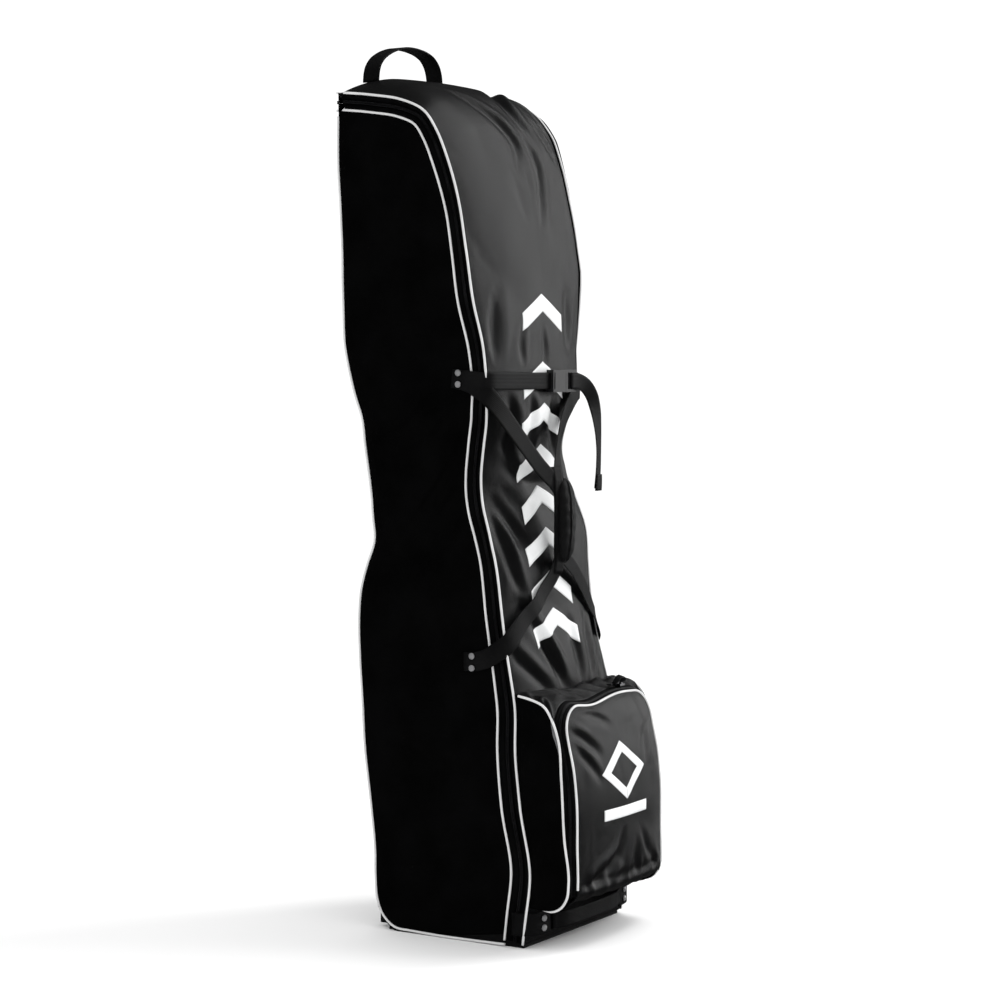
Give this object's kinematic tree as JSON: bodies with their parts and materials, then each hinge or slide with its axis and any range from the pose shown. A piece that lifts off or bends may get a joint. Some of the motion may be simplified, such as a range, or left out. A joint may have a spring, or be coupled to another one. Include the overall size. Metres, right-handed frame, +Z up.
{
  "type": "golf travel case",
  "caption": "Tall wheeled soft golf travel case with a fold-forward padded hood, front zip pocket, carry grip and buckled compression strap.",
  "frame": {"origin": "centre of the base on the floor, on the case's middle plane", "axes": "+Z up towards the hood, -Y out of the pocket side, +X to the buckle's plug side"},
  "size_m": [0.3263, 0.4128, 1.318],
  "materials": {
    "side_fabric": "matte woven polyester",
    "cover_fabric": "ballistic polyester with a soft sheen",
    "zip_tape": "coil zip tape",
    "piping": "satin white vinyl piping",
    "webbing": "ribbed nylon webbing",
    "grip_fabric": "padded neoprene-backed wrap",
    "buckle_plastic": "moulded acetal",
    "padding": "foam padding behind lining",
    "board": "stiff board",
    "tray_plastic": "textured moulded plastic",
    "tyre_rubber": "rubber tread",
    "hub_plastic": "moulded hub",
    "steel": "nickel-plated steel",
    "zip_metal": "gunmetal plating"
  },
  "bodies": {
    "case": {"left_side_panel": "side_fabric", "right_side_panel": "side_fabric", "back_panel": "side_fabric", "front_cover": "cover_fabric", "base_tray": "tray_plastic", "back_board": "board", "back_padding": "padding", "side_paddings": "padding", "skid_rails": "tray_plastic", "rail_screws": "steel", "left_wheel_housing": "tray_plastic", "right_wheel_housing": "tray_plastic", "axle_bolts": "steel", "axle_nuts": "steel", "side_zip_tapes": "zip_tape", "cover_zip_tapes": "zip_tape", "side_pipings": "piping", "rear_pipings": "piping", "cover_pipings": "piping", "pocket_gusset": "side_fabric", "pocket_gusset_tape": "zip_tape", "pocket_gusset_piping": "piping", "compression_strap_left": "webbing", "compression_strap_right": "webbing", "buckle_female": "buckle_plastic", "carry_strap_upper_left": "webbing", "carry_strap_upper_right": "webbing", "carry_strap_lower_left": "webbing", "carry_strap_lower_right": "webbing", "rivets": "steel", "rivet_washers": "steel", "tie_strap_left": "webbing", "tie_strap_right": "webbing", "tie_buckle_female": "buckle_plastic"},
    "hood": {"hood_cover": "cover_fabric", "hood_padding": "padding", "hood_pipings": "piping", "hood_zip_tapes": "zip_tape"},
    "top_handle": {"top_handle": "webbing"},
    "left_wheel": {"left_tyre": "tyre_rubber", "left_hub": "hub_plastic", "left_bearings": "steel"},
    "right_wheel": {"right_tyre": "tyre_rubber", "right_hub": "hub_plastic", "right_bearings": "steel"},
    "left_zip_slider": {"left_zip_slider": "zip_metal"},
    "left_zip_pull": {"left_zip_pull": "zip_metal"},
    "right_zip_slider": {"right_zip_slider": "zip_metal"},
    "right_zip_pull": {"right_zip_pull": "zip_metal"},
    "pocket_door": {"pocket_door": "cover_fabric", "pocket_door_tape": "zip_tape", "pocket_door_piping": "piping"},
    "pocket_zip_slider": {"pocket_zip_slider": "zip_metal"},
    "pocket_zip_pull": {"pocket_zip_pull": "zip_metal"},
    "buckle_male": {"buckle_male": "buckle_plastic", "strap_tail": "webbing"},
    "carry_grip": {"carry_grip": "grip_fabric", "grip_webbing": "webbing"},
    "bottom_handle": {"bottom_handle": "webbing"},
    "tie_buckle_male": {"tie_buckle_male": "buckle_plastic"}
  },
  "joints": [
    {"name": "hood_open", "type": "hinge", "parent": "case", "child": "hood", "pos_m": [0, -0.0725, 0.865], "axis": [1, 0, 0], "range_deg": [0, 110]},
    {"name": "top_handle_fold", "type": "hinge", "parent": "hood", "child": "top_handle", "pos_m": [0, 0.163, 1.262], "axis": [1, 0, 0], "range_deg": [-52, 52]},
    {"name": "left_wheel_spin", "type": "hinge", "parent": "case", "child": "left_wheel", "pos_m": [-0.105, 0.1, 0.04], "axis": [1, 0, 0], "continuous": true},
    {"name": "right_wheel_spin", "type": "hinge", "parent": "case", "child": "right_wheel", "pos_m": [0.105, 0.1, 0.04], "axis": [1, 0, 0], "continuous": true},
    {"name": "left_zip_slide", "type": "slide", "parent": "case", "child": "left_zip_slider", "axis": [-1, 0, 0], "range_m": [0, 0.09]},
    {"name": "left_zip_pull_swing", "type": "hinge", "parent": "left_zip_slider", "child": "left_zip_pull", "pos_m": [-0.01, 0.1888, 1.22325], "axis": [0, 0, -1], "range_deg": [0, 110]},
    {"name": "right_zip_slide", "type": "slide", "parent": "case", "child": "right_zip_slider", "axis": [1, 0, 0], "range_m": [0, 0.09]},
    {"name": "right_zip_pull_swing", "type": "hinge", "parent": "right_zip_slider", "child": "right_zip_pull", "pos_m": [0.01, 0.1888, 1.22325], "axis": [0, 0, 1], "range_deg": [0, 110]},
    {"name": "pocket_open", "type": "hinge", "parent": "case", "child": "pocket_door", "pos_m": [0, -0.22206, 0.07966], "axis": [1, 0, 0], "range_deg": [0, 75]},
    {"name": "pocket_zip_slide", "type": "slide", "parent": "case", "child": "pocket_zip_slider", "axis": [-1, 0, 0], "range_m": [0, 0.14]},
    {"name": "pocket_zip_pull_swing", "type": "hinge", "parent": "pocket_zip_slider", "child": "pocket_zip_pull", "pos_m": [0.062, -0.18099, 0.36556], "axis": [0, 0.9966, -0.0819], "range_deg": [0, 110]},
    {"name": "buckle_release", "type": "slide", "parent": "case", "child": "buckle_male", "axis": [1, 0, 0], "range_m": [0, 0.03]},
    {"name": "carry_grip_lift", "type": "slide", "parent": "case", "child": "carry_grip", "axis": [0, -1, 0], "range_m": [0, 0.04]},
    {"name": "bottom_handle_swing", "type": "hinge", "parent": "case", "child": "bottom_handle", "pos_m": [0, -0.152, 0.036], "axis": [1, 0, 0], "range_deg": [-20, 45]},
    {"name": "tie_buckle_release", "type": "slide", "parent": "case", "child": "tie_buckle_male", "axis": [1, 0, 0], "range_m": [0, 0.03]}
  ]
}
